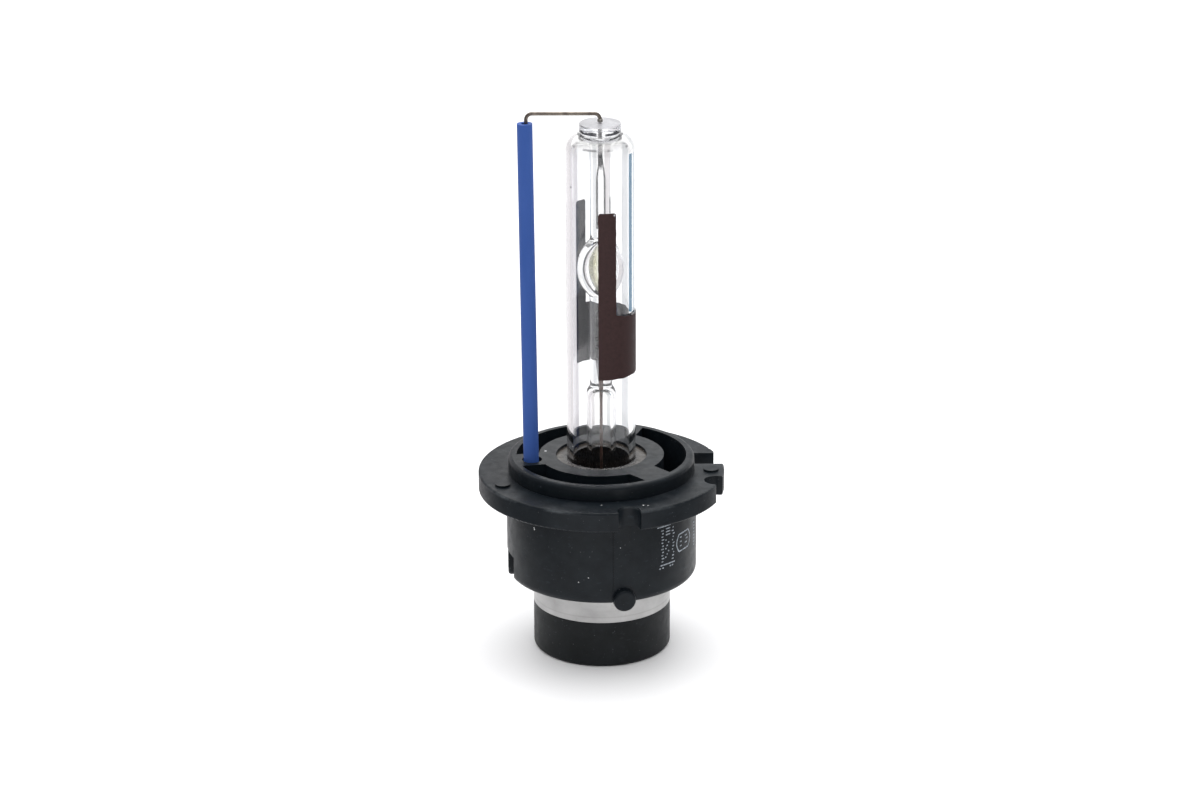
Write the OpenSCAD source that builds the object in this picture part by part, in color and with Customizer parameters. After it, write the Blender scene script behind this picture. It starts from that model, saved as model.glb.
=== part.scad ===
// Gas-discharge headlight bulb on a keyed 32 mm prefocus base, with a painted glare shield.
// Millimetres. The origin is the centre of the base's end face, and +Z runs along the lamp axis to the tip.
// Angles are measured about +Z from +X, and -90 is the front of the lamp.

/* [Base housing] */
// Diameter of the flange
flange_d = 32.3; // [31.9:0.1:32.7]
// Thickness of the flange
flange_t = 2.65; // [2.2:0.05:3]
// Height of the flange's underside above the base's end
flange_z = 21.9; // [21.5:0.1:22.5]
// Outer diameter of the skirt below the flange
skirt_d = 25; // [24.6:0.1:25.4]
// Wall thickness of the skirt
skirt_wall = 1.6; // [1.4:0.1:1.7]
// Height of the skirt's lower edge above the base's end
skirt_z = 10.3; // [10:0.1:10.5]
// Diameter of the collar that centres the lamp in the reflector
collar_d = 24.4; // [24:0.1:24.8]
// Height of the collar above the flange
collar_h = 2; // [1.6:0.1:2.4]
// Width of each spoke between the arc slots
spoke_w = 4.3; // [3.8:0.1:4.8]
// Diameter of the hub in the middle of the collar
hub_d = 16.4; // [16:0.1:16.8]
// Diameter of the bore in the hub
hub_bore_d = 11.9; // [11.4:0.1:12.2]

/* [Keys and lugs] */
// Distance from the lamp axis to the flange's flat side
flat_x = 14.9; // [14.6:0.1:15.3]
// Width of the key tab on the flat side
tab_w = 4.5; // [4:0.1:5]
// Width of the square notch beside the tab
key_notch_w = 3.9; // [3.4:0.1:4.3]
// Width of each round-ended notch
round_notch_w = 3; // [2.6:0.1:3.2]
// Diameter of each reference pad
pad_d = 2; // [1.8:0.1:2.2]
// Height of each reference pad
pad_h = 0.27; // [0.2:0.01:0.35]
// Diameter of each bayonet lug
lug_d = 2.95; // [2.6:0.05:3.1]

/* [Socket end] */
// Diameter of the barrel: the socket sleeve and the contact ring are flush
barrel_d = 18.1; // [18:0.02:18.2]
// Length of the socket sleeve below the ring
sleeve_h = 6.3; // [6:0.1:6.6]
// Diameter of the socket cavity
cavity_d = 13.6; // [13.2:0.1:14]
// Depth of the socket cavity
cavity_h = 9; // [8.5:0.1:9.2]
// Diameter of the centre contact pin
pin_d = 3; // [2.8:0.1:3.2]

/* [Burner] */
// Outer diameter of the quartz jacket
jacket_d = 9; // [8.8:0.1:9.1]
// Wall thickness of the jacket
jacket_wall = 0.8; // [0.8:0.05:1.1]
// Height of the jacket's closed shoulder
jacket_z = 70.2; // [69.8:0.1:70.6]
// Height of the arc chamber's centre
chamber_z = 52.35; // [51.85:0.1:52.65]
// Outer diameter of the arc chamber
chamber_d = 6.1; // [5.9:0.1:6.3]
// Inner diameter of the arc chamber
chamber_bore_d = 3.2; // [3:0.05:3.3]
// Distance between the electrode tips
arc_gap = 4.2; // [4:0.1:4.4]

/* [Return wire] */
// Outer diameter of the blue insulating tube
tube_d = 2; // [1.9:0.02:2.2]
// Diameter of the return wire
wire_d = 0.48; // [0.4:0.02:0.5]

/* [Glare shield] */
// Thickness of the painted film
coat_t = 0.04; // [0.03:0.01:0.08]
// Height of the band's lower edge
band_lo = 38.3; // [38:0.1:39]
// Height of the band's upper edge
band_hi = 46.5; // [46:0.1:47]

/* [Hidden] */
$fn = 96;

// How far a cutter runs past the face it opens, how far joined shapes run into each other,
// and the play left round a seated piece
past = 1;
lap = 0.3;
play = 0.02;

// Housing levels and radii
deck_z = 19.5;
hub_foot_z = 16;
seat_z = flange_z + flange_t;
top_z = seat_z + collar_h;
skirt_bore_r = skirt_d / 2 - skirt_wall;
slot_r = [hub_d / 2, 11.13];
spoke_angles = [-168.3, -48.5, 71.5];
edge_round = 0.25;
collar_round = 0.5;
skirt_round = 1;

// Keys: the flat runs either side of the tab, and the square notch ends at the collar
tab_y = -3.1;
key_notch_x = 12.3;
round_notch_floor_r = 14.05;
round_notch_angles = [-77, -17];
pad_places = [[14.2, -154.5], [14.4, -3.5], [14.2, 101]];

// Lugs: two stand out of the skirt, and one sits in the pocket on the left side
lug_z = 11.1;
lug_reach = 13.5;
lug_round = 0.35;
lug_angles = [-77, 51.5];
pocket_x = -11.55;
pocket_z = 13.8;
pocket_lug_x = -12.37;
lug_root_r = skirt_bore_r + lap;
rib_angles = [-83, -73];
rib_out = 0.12;

// Socket end levels and radii
ring_wall = 0.46;
neck_r = barrel_d / 2 - ring_wall;
closer_z = 12.5;
closer_r = skirt_bore_r - 2 * play;
end_round = 0.5;
pin_z = 2;
pin_shank_r = 1.2;
pin_head = [1.8, 0.5];
crimp = [0.9, 15];
potting_z = [closer_z + pin_head[1] + play, hub_foot_z];
sleeve_r = [1.05, 2.2];
sleeve_top = 17.3;

// The ring's tag stands up inside the base, where the return wire is welded to it
tag_angle = -168.2;
tag_r = [8.05, 8.5];
tag_w = 2;
tag_z = [9.6, 15.2];
tag_foot_h = 0.7;

// Burner levels and radii
jacket_foot_z = 17.5;
jacket_shoulder = 2.1;
jacket_bore_shoulder = 1.6;
jacket_foot_round = 0.3;
jacket_floor = 1;
upper_stem_r = 1.35;
lower_stem_r = 1.45;
foot_tube_r = [1.3, 1.9];
foot_tube_z = [jacket_foot_z, 36.6];
foot_tube_dome = 1;
foot_round = 1.4;
chamber_bow = 5.2;
bore_bow = 4.2;
cap_r = 2.69;
cap_neck_r = 2.35;
cap_z = [jacket_z + 0.25, jacket_z + 1.4];
cap_rounds = [0.2, 0.15];
cement_z = [jacket_foot_z, top_z - 0.35];

// Metal inside the burner
rod_r = 0.2;
rod_tip_round = 0.12;
foil_t = 0.06;
foil_w = 0.76;
foil_tip = 3.3;
foil_turn = -12;
foil_z = [[39.3, 46.4], [57.6, 64.4]];
weld_lap = 1.2;
lead_lap = 1.4;
lead_r = 0.2;
lead_foot_z = 13.2;
lead_top_z = 71.9;
weld_r = 0.36;
weld_h = 0.4;
weld_round = 0.1;
salt_t = 0.1;
salt_angles = [115, 265];
salt_z = [49.4, 54.8];
bead_r = 0.25;
bead_angle = 190;
bubbles = [[0.9, 195, 35.6, 0.16], [1.15, 230, 35.2, 0.12], [0.7, 250, 36, 0.14], [1.2, 300, 35.3, 0.1]];

// Insulating tube: its axis leans from the foot hole to the tube's top
tube_foot = [-9.1, -2.04, 18.6];
tube_top = [-9.57, -1, 71.8];
tube_bore_r = 0.45;
foot_hole_at = [-9.05, -1.94];
foot_hole_r = 1.3;

// Return wire: up from the tip weld, over to the tube's top, and down the tube to the tag.
// It enters the tube's bore nearer the jacket than the bore's centre.
wire_r = wire_d / 2;
wire_turn = 0.75;
wire_in = tube_top + [0.17, 0, 0];
wire_top = [72.8, 73.05];
wire_tag_r = tag_r[1] + wire_r;
wire_bend_z = 16.2;
wire_end_z = 13.5;
ring_weld_z = [14, 14.9];
ring_weld_r = 0.5;

// Glare shield: the far edge of each stripe is level with the band's end
coat_r = jacket_d / 2 + 0.01;
band_angles = [-94, 148];
stripes = [[-94, -64, 60.9], [120, 148, 60.5]];

// Point on a circle about the lamp axis
function polar(r, a, z = 0) = [r * cos(a), r * sin(a), z];
// Angles that turn +Z towards the point q as seen from p
function aim(p, q) = [0, acos((q - p)[2] / norm(q - p)), atan2((q - p)[1], (q - p)[0])];

// Takes the corner off a turned profile, leaving a quarter round of radius f
module corner_cutter(r, z, f, upper) {
    difference() {
        translate([r - f, upper ? z - f : z - past]) square([f + past, f + past]);
        translate([r - f, upper ? z - f : z + f]) circle(r = f);
    }
}

// A turned disc or ring, its outer edges rounded by f_lo below and f_hi above
module turned(r_out, z_lo, z_hi, r_in = 0, f_lo = 0, f_hi = 0) {
    rotate_extrude()
        difference() {
            translate([r_in, z_lo]) square([r_out - r_in, z_hi - z_lo]);
            if (f_lo > 0) corner_cutter(r_out, z_lo, f_lo, false);
            if (f_hi > 0) corner_cutter(r_out, z_hi, f_hi, true);
        }
}

// Part of a ring between two angles
module sector(r_in, r_out, z_lo, z_hi, a_lo, a_hi) {
    rotate_extrude(angle = a_hi - a_lo, start = a_lo)
        translate([r_in, z_lo])
            square([r_out - r_in, z_hi - z_lo]);
}

// Half outline of a spindle whose side is an arc of radius bow
module spindle_outline(r, bow) {
    intersection() {
        translate([r - bow, chamber_z]) circle(r = bow);
        translate([0, chamber_z - bow]) square([bow, 2 * bow]);
    }
}

// Straight round bar between two points
module bar(p, q, r) {
    translate(p)
        rotate(aim(p, q))
            cylinder(r = r, h = norm(q - p));
}

// Ball that fills the corner where two bars meet
module knuckle(at, r) {
    translate(at)
        sphere(r = r + play / 2);
}

// ---- Base housing ----

module flange() {
    difference() {
        turned(flange_d / 2, flange_z, seat_z, 0, edge_round, edge_round);
        difference() {
            translate([flat_x, -flange_d / 2, flange_z - past])
                cube([flange_d, flange_d, flange_t + 2 * past]);
            translate([0, tab_y, flange_z - 2 * past])
                cube([flange_d, tab_w, flange_t + 4 * past]);
        }
        translate([key_notch_x, tab_y + tab_w, flange_z - past])
            cube([flange_d, key_notch_w, flange_t + 2 * past]);
        for (a = round_notch_angles) round_notch(a);
    }
    for (p = pad_places)
        translate(polar(p[0], p[1], seat_z - past))
            cylinder(d = pad_d, h = past + pad_h);
}

module round_notch(a) {
    floor_at = round_notch_floor_r + round_notch_w / 2;
    rotate(a) {
        translate([floor_at, 0, flange_z - past])
            cylinder(d = round_notch_w, h = flange_t + 2 * past);
        translate([floor_at, -round_notch_w / 2, flange_z - past])
            cube([flange_d, round_notch_w, flange_t + 2 * past]);
    }
}

module lug(a, r_from, r_to, f) {
    rotate(a)
        translate([0, 0, lug_z])
            rotate([0, 90, 0])
                turned(lug_d / 2, r_from, r_to, 0, 0, f);
}

module skirt() {
    difference() {
        turned(skirt_d / 2, skirt_z, flange_z + past, skirt_bore_r, skirt_round, 0);
        translate([pocket_x - skirt_d, -skirt_d / 2, skirt_z - past])
            cube([skirt_d, skirt_d, pocket_z - skirt_z + past]);
    }
    for (a = lug_angles) lug(a, lug_root_r, lug_reach, lug_round);
    lug(180, lug_root_r, -pocket_lug_x, lug_round);
    translate([pocket_lug_x, -lug_d / 2, lug_z])
        cube([-lug_root_r - pocket_lug_x, lug_d, pocket_z - lug_z + lap]);
    sector(skirt_d / 2 - lap, skirt_d / 2 + rib_out, lug_z, flange_z + past, rib_angles[0], rib_angles[1]);
}

module arc_slots() {
    difference() {
        turned(slot_r[1], deck_z - past, top_z + past, slot_r[0]);
        for (a = spoke_angles)
            rotate(a)
                translate([0, -spoke_w / 2, deck_z - 2 * past])
                    cube([collar_d, spoke_w, top_z - deck_z + 4 * past]);
    }
}

module base_housing() {
    color("#2d3236")
    difference() {
        union() {
            flange();
            skirt();
            turned(skirt_d / 2 - lap, deck_z, seat_z);
            turned(collar_d / 2, seat_z - past, top_z, 0, 0, collar_round);
            turned(hub_d / 2, hub_foot_z, top_z - past);
        }
        turned(hub_bore_d / 2, hub_foot_z - past, top_z + past);
        arc_slots();
        translate([foot_hole_at[0], foot_hole_at[1], deck_z - past])
            cylinder(r = foot_hole_r, h = top_z - deck_z + 2 * past);
    }
}

// ---- Socket end ----

module connector_body() {
    color("#23282b")
    difference() {
        union() {
            turned(barrel_d / 2, 0, sleeve_h, 0, end_round, 0);
            turned(neck_r - play, sleeve_h - past, closer_z);
            turned(closer_r, skirt_z, closer_z);
        }
        turned(cavity_d / 2, -past, cavity_h);
        turned(pin_shank_r + play, cavity_h - past, closer_z + past);
        tag_slot();
    }
}

module tag_slot() {
    rotate(tag_angle)
        translate([tag_r[0] - play, -tag_w / 2 - play, tag_z[0] - play])
            cube([neck_r - tag_r[0] + 2 * play, tag_w + 2 * play, closer_z]);
}

module contact_ring() {
    color("#b2b1af")
    union() {
        turned(barrel_d / 2, sleeve_h, skirt_z, neck_r);
        rotate(tag_angle) {
            translate([tag_r[0], -tag_w / 2, tag_z[0]])
                cube([neck_r + ring_wall / 2 - tag_r[0], tag_w, tag_foot_h]);
            translate([tag_r[0], -tag_w / 2, tag_z[0]])
                cube([tag_r[1] - tag_r[0], tag_w, tag_z[1] - tag_z[0]]);
        }
    }
}

module centre_contact() {
    color("#c9b37e")
    difference() {
        union() {
            turned(pin_d / 2, pin_z, cavity_h, 0, end_round, 0);
            turned(pin_shank_r, cavity_h - past, closer_z + past / 2);
            turned(pin_head[0], closer_z, closer_z + pin_head[1]);
            turned(crimp[0], closer_z, crimp[1]);
        }
        turned(lead_r + play, lead_foot_z - play, crimp[1] + past);
    }
}

module lead_sleeve() {
    color("#e8e4da")
    turned(sleeve_r[1], potting_z[0], sleeve_top, sleeve_r[0]);
}

module base_potting() {
    color("#3a3632")
    difference() {
        turned(closer_r, potting_z[0], potting_z[1], sleeve_r[1]);
        rotate(tag_angle)
            translate([tag_r[0] - play, -tag_w / 2 - play, closer_z])
                cube([tag_r[1] - tag_r[0] + 2 * play, tag_w + 2 * play, tag_z[1] + play - closer_z]);
        wire_foot(wire_r + play);
        ring_weld_blob(ring_weld_r + play, play);
    }
}

module ring_weld_blob(r, grow) {
    translate(polar(wire_tag_r, tag_angle, ring_weld_z[0] - grow))
        cylinder(r = r, h = ring_weld_z[1] - ring_weld_z[0] + 2 * grow);
}

module ring_weld() {
    color("#8f8d88")
    difference() {
        ring_weld_blob(ring_weld_r, 0);
        wire_foot(wire_r);
        rotate(tag_angle)
            translate([0, -tag_w / 2, closer_z])
                cube([tag_r[1], tag_w, tag_z[1] - closer_z]);
    }
}

// ---- Burner ----

module hub_cement() {
    color("#6d6259")
    turned(hub_bore_d / 2 - play, cement_z[0], cement_z[1], jacket_d / 2 + play);
}

module outer_jacket() {
    bore_r = jacket_d / 2 - jacket_wall;
    color("#e6edf2", 0.35)
    difference() {
        turned(jacket_d / 2, jacket_foot_z, jacket_z, 0, jacket_foot_round, jacket_shoulder);
        turned(bore_r, jacket_foot_z + jacket_floor, jacket_z - jacket_wall, 0, 0, jacket_bore_shoulder);
        turned(foot_tube_r[1] + play, jacket_foot_z - past, jacket_foot_z + 2 * jacket_floor);
        turned(upper_stem_r + play, jacket_z - 2 * jacket_wall, jacket_z + past);
    }
}

module seal_cap() {
    color("#cbccd0", 0.6)
    difference() {
        union() {
            turned(cap_neck_r, jacket_z + play, cap_z[0] + past / 2);
            turned(cap_r, cap_z[0], cap_z[1], 0, cap_rounds[0], cap_rounds[1]);
        }
        turned(lead_r + play, jacket_z - past, cap_z[1] + past);
    }
}

// Solid glass of the arc tube before its bores are made
module arc_tube_glass() {
    rotate_extrude() spindle_outline(chamber_d / 2, chamber_bow);
    turned(upper_stem_r, chamber_z, jacket_z);
    turned(lower_stem_r, foot_tube_z[1] - foot_round, chamber_z);
    turned(foot_tube_r[1], foot_tube_z[0], foot_tube_z[1], 0, 0, foot_round);
}

module foil(z, t, w) {
    rotate([0, 0, foil_turn])
        translate([0, rod_r + foil_t / 2 + t / 2, 0])
            rotate([90, 0, 0])
                linear_extrude(height = t)
                    polygon([
                        [-w / 2, z[0]], [w / 2, z[0]],
                        [w / 2, z[1]], [w / 8, z[1] + foil_tip],
                        [-w / 8, z[1] + foil_tip], [-w / 2, z[1]],
                    ]);
}

// The lower foil's pointed end hangs down, so it is the upper one turned over
module lower_foil_shape(t, w) {
    z = foil_z[0];
    translate([0, 0, z[0] + z[1]])
        rotate([0, 180, 0])
            foil(z, t, w);
}

module arc_tube() {
    color("#dfe8ee", 0.5)
    difference() {
        arc_tube_glass();
        rotate_extrude() spindle_outline(chamber_bore_d / 2, bore_bow);
        turned(rod_r + play, foil_z[0][0] - foil_tip - past, foil_z[1][1]);
        turned(rod_r + play, foil_z[1][1] - past, jacket_z + past);
        foil(foil_z[1], foil_t + 2 * play, foil_w + 2 * play);
        lower_foil_shape(foil_t + 2 * play, foil_w + 2 * play);
        turned(foot_tube_r[0], foot_tube_z[0] - past, foot_tube_z[1] - foot_tube_dome, 0, 0, foot_tube_dome);
        for (b = bubbles)
            translate(polar(b[0], b[1], b[2])) sphere(r = b[3]);
    }
}

module upper_electrode() {
    color("#777777")
    turned(rod_r, chamber_z + arc_gap / 2, foil_z[1][0] + weld_lap, 0, rod_tip_round, 0);
}

module lower_electrode() {
    color("#777777")
    turned(rod_r, foil_z[0][1] - weld_lap, chamber_z - arc_gap / 2, 0, 0, rod_tip_round);
}

module upper_foil() {
    color("#8a8a8a")
    foil(foil_z[1], foil_t, foil_w);
}

module lower_foil() {
    color("#8a8a8a")
    lower_foil_shape(foil_t, foil_w);
}

module upper_lead() {
    color("#8c857e")
    turned(lead_r, foil_z[1][1] + foil_tip - lead_lap, lead_top_z);
}

module lower_lead() {
    color("#7a4f42")
    turned(lead_r, lead_foot_z, foil_z[0][0] - foil_tip + lead_lap);
}

module halide_salts() {
    color("#d8dca0")
    intersection() {
        rotate_extrude(angle = salt_angles[1] - salt_angles[0], start = salt_angles[0])
            difference() {
                spindle_outline(chamber_bore_d / 2 - play, bore_bow - play);
                spindle_outline(chamber_bore_d / 2 - salt_t, bore_bow - salt_t);
            }
        translate([0, 0, salt_z[0]])
            cylinder(r = chamber_d, h = salt_z[1] - salt_z[0]);
    }
}

// The bead lies in the corner between the electrode and the salt film
module mercury_bead() {
    out = rod_r + bead_r + play;
    bow_x = chamber_bore_d / 2 - bore_bow;
    reach = bore_bow - salt_t - bead_r - play;
    color("#c8c8cc")
    translate(polar(out, bead_angle, chamber_z - sqrt(reach ^ 2 - (out - bow_x) ^ 2)))
        sphere(r = bead_r);
}

// ---- Return wire ----

module insulator_tube() {
    over = past * (tube_top - tube_foot) / norm(tube_top - tube_foot);
    color("#3c5a98")
    difference() {
        bar(tube_foot, tube_top, tube_d / 2);
        bar(tube_foot - over, tube_top + over, tube_bore_r);
    }
}

// Lower end of the return wire: out of the tube, across to the tag and down beside it
module wire_foot(r) {
    bend = polar(wire_tag_r, tag_angle, wire_bend_z);
    bar(tube_foot, bend, r);
    knuckle(bend, r);
    bar(bend, polar(wire_tag_r, tag_angle, wire_end_z), r);
}

// Quarter turn of the wire in the X-Z plane about a centre, from angle a_lo to a_hi
module wire_bend(at, a_lo, a_hi) {
    translate(at)
        rotate([90, 0, 0])
            rotate_extrude(angle = a_hi - a_lo, start = a_lo)
                translate([wire_turn, 0])
                    circle(r = wire_r);
}

module return_wire() {
    reach = norm([wire_in[0], wire_in[1]]);
    slope = atan2(wire_top[1] - wire_top[0], reach - 2 * wire_turn);
    near = [-wire_turn, 0, wire_top[0] - wire_turn];
    far = [-reach + wire_turn, 0, wire_top[1] - wire_turn];
    lift = wire_turn * [sin(slope), 0, cos(slope)];
    color("#6f6862")
    union() {
        rotate([0, 0, atan2(-wire_in[1], -wire_in[0])]) {
            bar([0, 0, lead_top_z + play], [0, 0, near[2]], wire_r);
            wire_bend(near, 0, 90 - slope);
            knuckle(near + lift, wire_r);
            bar(near + lift, far + lift, wire_r);
            knuckle(far + lift, wire_r);
            wire_bend(far, 90 - slope, 180);
            bar([-reach, 0, far[2]], [-reach, 0, wire_in[2]], wire_r);
        }
        knuckle(wire_in, wire_r);
        bar(tube_foot, wire_in, wire_r);
        knuckle(tube_foot, wire_r);
        wire_foot(wire_r);
    }
}

module top_weld() {
    color("#8f8d88")
    difference() {
        turned(weld_r, lead_top_z - weld_h / 2, lead_top_z + weld_h / 2, 0, weld_round, weld_round);
        turned(lead_r + play, lead_top_z - weld_h, lead_top_z + play);
        turned(wire_r + play, lead_top_z, lead_top_z + weld_h);
    }
}

// ---- Glare shield ----

module shield_coating() {
    color("#403738")
    union() {
        sector(coat_r, coat_r + coat_t, band_lo, band_hi, band_angles[0], band_angles[1]);
        for (s = stripes)
            sector(coat_r, coat_r + coat_t, band_lo, s[2], s[0], s[1]);
    }
}

base_housing();
connector_body();
contact_ring();
centre_contact();
lead_sleeve();
base_potting();
ring_weld();
hub_cement();
outer_jacket();
seal_cap();
arc_tube();
upper_electrode();
lower_electrode();
upper_foil();
lower_foil();
upper_lead();
lower_lead();
halide_salts();
mercury_bead();
insulator_tube();
return_wire();
top_weld();
shield_coating();
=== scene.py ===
"""Gas-discharge headlight bulb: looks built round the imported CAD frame. Lengths are in metres, +Z up."""
import functools
import math

import bmesh
import bpy
from mathutils import Matrix, Vector, noise


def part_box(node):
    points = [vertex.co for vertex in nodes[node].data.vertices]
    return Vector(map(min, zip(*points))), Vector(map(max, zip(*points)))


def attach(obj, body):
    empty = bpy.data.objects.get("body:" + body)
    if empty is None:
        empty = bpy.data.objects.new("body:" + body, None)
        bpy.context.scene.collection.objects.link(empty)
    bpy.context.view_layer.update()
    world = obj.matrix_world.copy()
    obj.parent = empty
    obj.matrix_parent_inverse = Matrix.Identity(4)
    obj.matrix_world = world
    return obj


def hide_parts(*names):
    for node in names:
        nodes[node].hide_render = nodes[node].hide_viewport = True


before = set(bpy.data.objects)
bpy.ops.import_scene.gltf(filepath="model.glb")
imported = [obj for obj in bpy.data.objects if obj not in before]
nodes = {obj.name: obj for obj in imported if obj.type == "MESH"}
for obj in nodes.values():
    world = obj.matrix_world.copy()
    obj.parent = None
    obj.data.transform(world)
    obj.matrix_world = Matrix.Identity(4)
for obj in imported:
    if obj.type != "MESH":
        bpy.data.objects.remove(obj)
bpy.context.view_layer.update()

MM = 0.001
scene = bpy.context.scene


def turn(radius, angle):
    """The (x, y) point at a distance from the axis, at an angle in degrees from +X."""
    a = math.radians(angle)
    return radius * math.cos(a), radius * math.sin(a)


def spread(low, high, steps):
    """Evenly spaced values from low to high, both included."""
    return [low + (high - low) * i / steps for i in range(steps + 1)]


# Sizes that the pieces below share, read from the frame
jacket_low, jacket_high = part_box("outer_jacket")
cap_low, cap_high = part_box("seal_cap")
ring_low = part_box("contact_ring")[0]
tube_low, tube_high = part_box("arc_tube")
coat_low, coat_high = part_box("shield_coating")
salts_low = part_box("halide_salts")[0]
foil_low, foil_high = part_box("upper_foil")
housing_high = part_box("base_housing")[1]
JACKET_R = jacket_high.x
JACKET_WALL = 0.8 * MM
JACKET_BORE_R = JACKET_R - JACKET_WALL
CAP_R = cap_high.x
CHAMBER_R = tube_high.x
CHAMBER_Z = (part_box("upper_electrode")[0].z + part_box("lower_electrode")[1].z) / 2
SALT_GAP = 0.02 * MM
CHAMBER_BORE_R = -salts_low.x + SALT_GAP

# Sizes that only the looks need
STEM_R = 1.35 * MM
FOOT_BORE_R = 1.3 * MM
SKIRT_R = 12.5 * MM
BAND_TOP = 46.4 * MM
FRONT_STRIPE = (-94, -64)
REAR_STRIPE = (120, 148)
MARK_LINE = 0.17 * MM
# The small flaws below are placed in millimetres, with angles in degrees from +X
# Bubbles in the arc tube's foot: distance from the axis, angle, height and radius
BUBBLES = ((0.9, 195, 35.9, 0.16), (1.15, 230, 35.7, 0.12), (0.7, 250, 36.2, 0.14), (1.2, 300, 35.8, 0.1))
# Specks burnt on the jacket: angle, height and radius
SPECKS = ((-146, 63.8, 0.14), (-142, 31.2, 0.09))
# A chip in the front stripe's face: place and radius
PAINT_CHIP = ((*turn(JACKET_R / MM + 0.05, -67), 60.55), 0.13)
# White flecks stuck to the housing: place and radius
FLECKS = (
    ((-7.33, 1.08, 26.55), 0.16),
    ((*turn(12.5, -134.5), 19.7), 0.1),
    ((*turn(12.5, -134.2), 19.5), 0.1),
    ((*turn(12.55, -79), 18.28), 0.09),
    ((*turn(14.3, -68), 24.55), 0.12),
    ((*turn(14.6, -66), 24.55), 0.09),
    ((*turn(13.2, -90), 24.55), 0.1),
    ((*turn(12.5, -104), 13.4), 0.08),
    ((*turn(12.5, -98), 14.1), 0.07),
)
# Near black: the colour of the burnt specks, and of the painted dark refraction at the button
SPECK_AND_PAINTED_DARK = (0.004, 0.004, 0.005)


# ---------------------------------------------------------------- meshes

def arc(cx, cz, radius, start, end, steps):
    """Points of an arc in the (radius, height) plane, angles in degrees."""
    angles = [math.radians(angle) for angle in spread(start, end, steps)]
    return [(cx + radius * math.cos(a), cz + radius * math.sin(a)) for a in angles]


def smooth_max(a, b, soft):
    """The larger of two lengths, blended where they are within soft of each other."""
    h = max(soft - abs(a - b), 0) / soft
    return max(a, b) + h * h * soft / 4


def new_object(name, data):
    """Adds an object with this mesh, light or camera to the scene."""
    piece = bpy.data.objects.new(name, data)
    scene.collection.objects.link(piece)
    return piece


def turn_outline(bm, outline, closed, segments=128, flip=False):
    """Turns an outline of (radius, height) points about Z. Points on the axis become poles."""
    on_axis = 1e-7
    rings = []
    for r, z in outline:
        if r < on_axis:
            rings.append([bm.verts.new((0, 0, z))])
            continue
        ring = []
        for i in range(segments):
            a = 2 * math.pi * i / segments
            ring.append(bm.verts.new((r * math.cos(a), r * math.sin(a), z)))
        rings.append(ring)
    pairs = list(zip(rings, rings[1:]))
    if closed:
        pairs.append((rings[-1], rings[0]))
    for low, high in pairs:
        for i in range(segments):
            j = (i + 1) % segments
            corners = [low[i % len(low)], low[j % len(low)], high[j % len(high)], high[i % len(high)]]
            corners = list(dict.fromkeys(corners))
            if flip:
                corners.reverse()
            bm.faces.new(corners)


def finish_mesh(bm, name, smooth=True):
    """Makes an object of a bmesh and frees the bmesh."""
    data = bpy.data.meshes.new(name)
    bm.to_mesh(data)
    bm.free()
    for face in data.polygons:
        face.use_smooth = smooth
    return new_object(name, data)


def jacket_mesh():
    """Quartz jacket: straight wall, rounded shoulder, flat crown and a narrow mouth round the stem."""
    dome = 2.1 * MM
    mouth = STEM_R + 0.05 * MM
    foot_hole = 1.95 * MM
    foot_edge = 0.3 * MM
    floor_wall = 1.0 * MM
    mouth_edge = 0.15 * MM
    inner = 1.5 * MM
    low, high = jacket_low.z, jacket_high.z
    floor = low + floor_wall
    crown = high - JACKET_WALL
    outline = [(foot_hole, low), (JACKET_R - foot_edge, low)]
    outline += arc(JACKET_R - foot_edge, low + foot_edge, foot_edge, -90, 0, 6)[1:]
    outline += [(JACKET_R, z) for z in spread(low, high - dome, 12)[1:-1]]
    outline += arc(JACKET_R - dome, high - dome, dome, 0, 87, 24)
    outline += arc(mouth + mouth_edge, high - mouth_edge, mouth_edge, 90, 180, 6)
    outline += arc(mouth + mouth_edge, crown + mouth_edge, mouth_edge, 180, 270, 6)
    outline += arc(JACKET_BORE_R - inner, crown - inner, inner, 87, 0, 20)
    outline += [(JACKET_BORE_R, z) for z in spread(crown - inner, floor, 12)[1:-1]]
    outline += arc(JACKET_BORE_R - foot_edge, floor + foot_edge, foot_edge, 0, -90, 6)
    outline += [(foot_hole, floor)]
    bm = bmesh.new()
    turn_outline(bm, outline, closed=True)
    return finish_mesh(bm, "jacket_quartz")


def cap_mesh():
    """Fused quartz button on the tip: a puck on a slightly narrower waist, its top sunk at the lead."""
    low, high = cap_low.z, cap_high.z
    waist_r = 2.35 * MM
    puck_z = low + 0.25 * MM
    edge = 0.14 * MM
    dip = 0.05 * MM
    outline = [(0, low), (waist_r - edge, low)]
    outline += arc(waist_r - edge, low + edge, edge, -90, 0, 5)[1:]
    outline += arc(CAP_R - edge, puck_z + edge, edge, -80, 0, 8)
    outline += arc(CAP_R - edge, high - edge, edge, 0, 90, 8)
    outline += [(CAP_R * f, high - dip * (1 - f)) for f in (0.8, 0.6, 0.4, 0.25)]
    outline += [(0, high - 0.06 * MM)]
    bm = bmesh.new()
    turn_outline(bm, outline, closed=False)
    return finish_mesh(bm, "tip_button")


def spindle(z, widest, bow):
    """Radius at height z of a spindle whose side is an arc of radius bow."""
    off = z - CHAMBER_Z
    if abs(off) >= bow:
        return 0.0
    return max(widest - bow + math.sqrt(bow * bow - off * off), 0.0)


def bubble(bm, place, size):
    """A round void in the glass: a ball whose faces look inwards."""
    made = bmesh.ops.create_icosphere(bm, subdivisions=2, radius=size, matrix=Matrix.Translation(place))
    faces = {face for vert in made["verts"] for face in vert.link_faces}
    bmesh.ops.reverse_faces(bm, faces=list(faces))


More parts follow.
